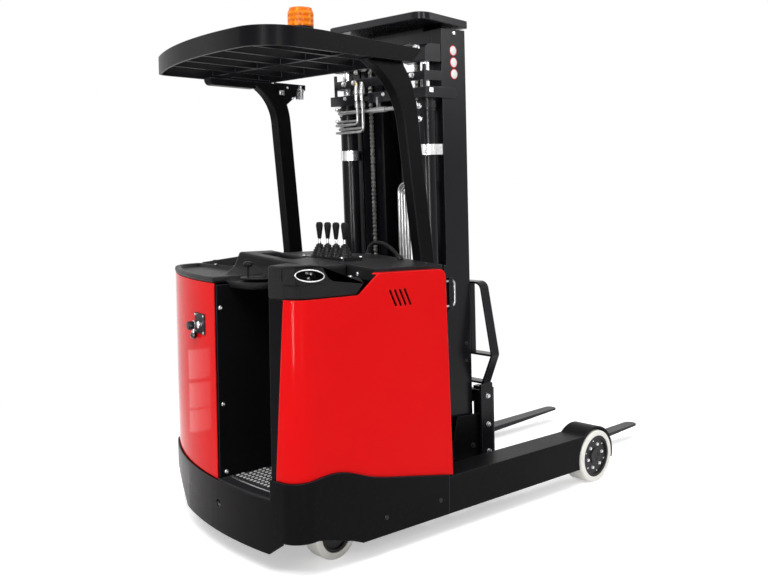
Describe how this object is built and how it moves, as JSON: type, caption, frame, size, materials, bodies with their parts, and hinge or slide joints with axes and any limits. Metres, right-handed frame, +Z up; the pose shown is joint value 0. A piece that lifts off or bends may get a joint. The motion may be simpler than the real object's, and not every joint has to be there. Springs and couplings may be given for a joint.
{
  "type": "stand-up reach truck",
  "caption": "Stand-up reach truck with straddle legs, a rear stand-on compartment under an overhead guard, and a mast in stages that reaches forward, leans and lifts two forks.",
  "frame": {"origin": "on the floor under the centre of the bounding box", "axes": "+X forward to the fork tips, +Y to the left of the truck, +Z up"},
  "size_m": [2.7287, 1.27, 2.1593],
  "materials": {
    "frame_black": "satin black paint",
    "mast_black": "gloss black paint",
    "fork_black": "satin black paint",
    "cover_red": "glossy red moulding",
    "console_plastic": "fine grained black plastic",
    "mat_rubber": "studded rubber",
    "battery_grey": "matt grey paint",
    "beacon_amber": "clear amber plastic",
    "tyre_cream": "smooth cream polyurethane",
    "hub_black": "black paint",
    "chrome_rod": "polished",
    "chain_steel": "oiled",
    "zinc_pipe": "zinc plated",
    "hose_rubber": "smooth"
  },
  "bodies": {
    "truck": {"leg_right": "frame_black", "leg_left": "frame_black", "chassis_skirt": "frame_black", "chassis_deck": "frame_black", "floor_mat": "mat_rubber", "side_cover_right": "cover_red", "rear_cover_left": "cover_red", "inner_panel": "frame_black", "pillar": "frame_black", "console_top": "console_plastic", "power_lid": "console_plastic", "grip_console": "console_plastic", "lever_bank": "console_plastic", "battery": "battery_grey", "drive_motor": "battery_grey", "overhead_guard": "frame_black", "guard_legs": "frame_black", "beacon": "beacon_amber", "reach_barrel": "frame_black", "hose_loop": "hose_rubber"},
    "steering_wheel": {"steering_wheel": "console_plastic"},
    "load_wheel_right": {"load_tyre_right": "tyre_cream", "load_hub_right": "hub_black"},
    "load_wheel_left": {"load_tyre_left": "tyre_cream", "load_hub_left": "hub_black"},
    "drive_unit": {"drive_yoke": "frame_black"},
    "drive_wheel": {"drive_tyre": "tyre_cream", "drive_hub": "hub_black"},
    "caster": {"caster_yoke": "frame_black"},
    "caster_wheel": {"caster_tyre": "tyre_cream", "caster_hub": "hub_black"},
    "reach_carriage": {"reach_carriage": "frame_black", "reach_rod": "chrome_rod"},
    "mast": {"outer_mast": "mast_black", "lift_barrels": "mast_black", "mast_pipes": "zinc_pipe"},
    "middle_stage": {"middle_mast": "mast_black", "lift_rods": "chrome_rod", "lift_chains": "chain_steel"},
    "inner_stage": {"inner_mast": "mast_black", "mast_cap": "mast_black", "free_lift_barrel": "mast_black"},
    "crosshead": {"crosshead": "chrome_rod", "fork_chains": "chain_steel"},
    "fork_carriage": {"fork_carriage": "mast_black", "backrest": "mast_black", "forks": "fork_black"},
    "tilt_barrel_left": {"tilt_barrel_left": "frame_black"},
    "tilt_rod_left": {"tilt_rod_left": "chrome_rod"},
    "tilt_barrel_right": {"tilt_barrel_right": "frame_black"},
    "tilt_rod_right": {"tilt_rod_right": "chrome_rod"}
  },
  "joints": [
    {"name": "load_wheel_right_spin", "type": "hinge", "parent": "truck", "child": "load_wheel_right", "pos_m": [0.485, -0.5825, 0.125], "axis": [0, 1, 0], "continuous": true},
    {"name": "load_wheel_left_spin", "type": "hinge", "parent": "truck", "child": "load_wheel_left", "pos_m": [0.485, 0.5825, 0.125], "axis": [0, 1, 0], "continuous": true},
    {"name": "steering_wheel_turn", "type": "hinge", "parent": "truck", "child": "steering_wheel", "pos_m": [-1.186, -0.214, 1.056], "axis": [0, 0, 1], "continuous": true},
    {"name": "drive_steer", "type": "hinge", "parent": "truck", "child": "drive_unit", "pos_m": [-1.04, 0.25, 0.26], "axis": [0, 0, 1], "range_deg": [-90, 90]},
    {"name": "drive_wheel_spin", "type": "hinge", "parent": "drive_unit", "child": "drive_wheel", "pos_m": [-1.04, 0.25, 0.125], "axis": [0, 1, 0], "continuous": true},
    {"name": "caster_swivel", "type": "hinge", "parent": "truck", "child": "caster", "pos_m": [-1.045, -0.489, 0.26], "axis": [0, 0, 1], "continuous": true},
    {"name": "caster_wheel_spin", "type": "hinge", "parent": "caster", "child": "caster_wheel", "pos_m": [-1.065, -0.489, 0.1], "axis": [0, 1, 0], "continuous": true},
    {"name": "mast_reach", "type": "slide", "parent": "truck", "child": "reach_carriage", "axis": [1, 0, 0], "range_m": [0, 0.44]},
    {"name": "mast_tilt", "type": "hinge", "parent": "reach_carriage", "child": "mast", "pos_m": [-0.105, 0, 0.172], "axis": [0, 1, 0], "range_deg": [-2, 4.4]},
    {"name": "main_lift", "type": "slide", "parent": "mast", "child": "middle_stage", "axis": [-0.0384, 0, 0.9993], "range_m": [0, 1.45]},
    {"name": "inner_lift", "type": "slide", "parent": "middle_stage", "child": "inner_stage", "axis": [-0.0384, 0, 0.9993], "range_m": [0, 1.45]},
    {"name": "free_lift", "type": "slide", "parent": "inner_stage", "child": "crosshead", "axis": [-0.0384, 0, 0.9993], "range_m": [0, 0.7]},
    {"name": "fork_lift", "type": "slide", "parent": "inner_stage", "child": "fork_carriage", "axis": [-0.0384, 0, 0.9993], "range_m": [0, 1.4]},
    {"name": "tilt_barrel_left_swing", "type": "hinge", "parent": "reach_carriage", "child": "tilt_barrel_left", "pos_m": [-0.392, 0.17, 0.236], "axis": [0, 1, 0], "range_deg": [-2.29, 1.04]},
    {"name": "tilt_rod_left_slide", "type": "slide", "parent": "tilt_barrel_left", "child": "tilt_rod_left", "axis": [0.9276, 0, 0.3735], "range_m": [-0.00603, 0.01315]},
    {"name": "tilt_barrel_right_swing", "type": "hinge", "parent": "reach_carriage", "child": "tilt_barrel_right", "pos_m": [-0.392, -0.17, 0.236], "axis": [0, 1, 0], "range_deg": [-2.29, 1.04]},
    {"name": "tilt_rod_right_slide", "type": "slide", "parent": "tilt_barrel_right", "child": "tilt_rod_right", "axis": [0.9276, 0, 0.3735], "range_m": [-0.00603, 0.01315]}
  ],
  "couplings": [
    {"joint": "inner_lift", "follows": "main_lift", "ratio": 1},
    {"joint": "fork_lift", "follows": "free_lift", "ratio": 2},
    {"joint": "tilt_barrel_left_swing", "follows": "mast_tilt", "ratio": -0.50858},
    {"joint": "tilt_rod_left_slide", "follows": "mast_tilt", "m_per_rad": 0.16657},
    {"joint": "tilt_barrel_right_swing", "follows": "mast_tilt", "ratio": -0.50858},
    {"joint": "tilt_rod_right_slide", "follows": "mast_tilt", "m_per_rad": 0.16657}
  ]
}
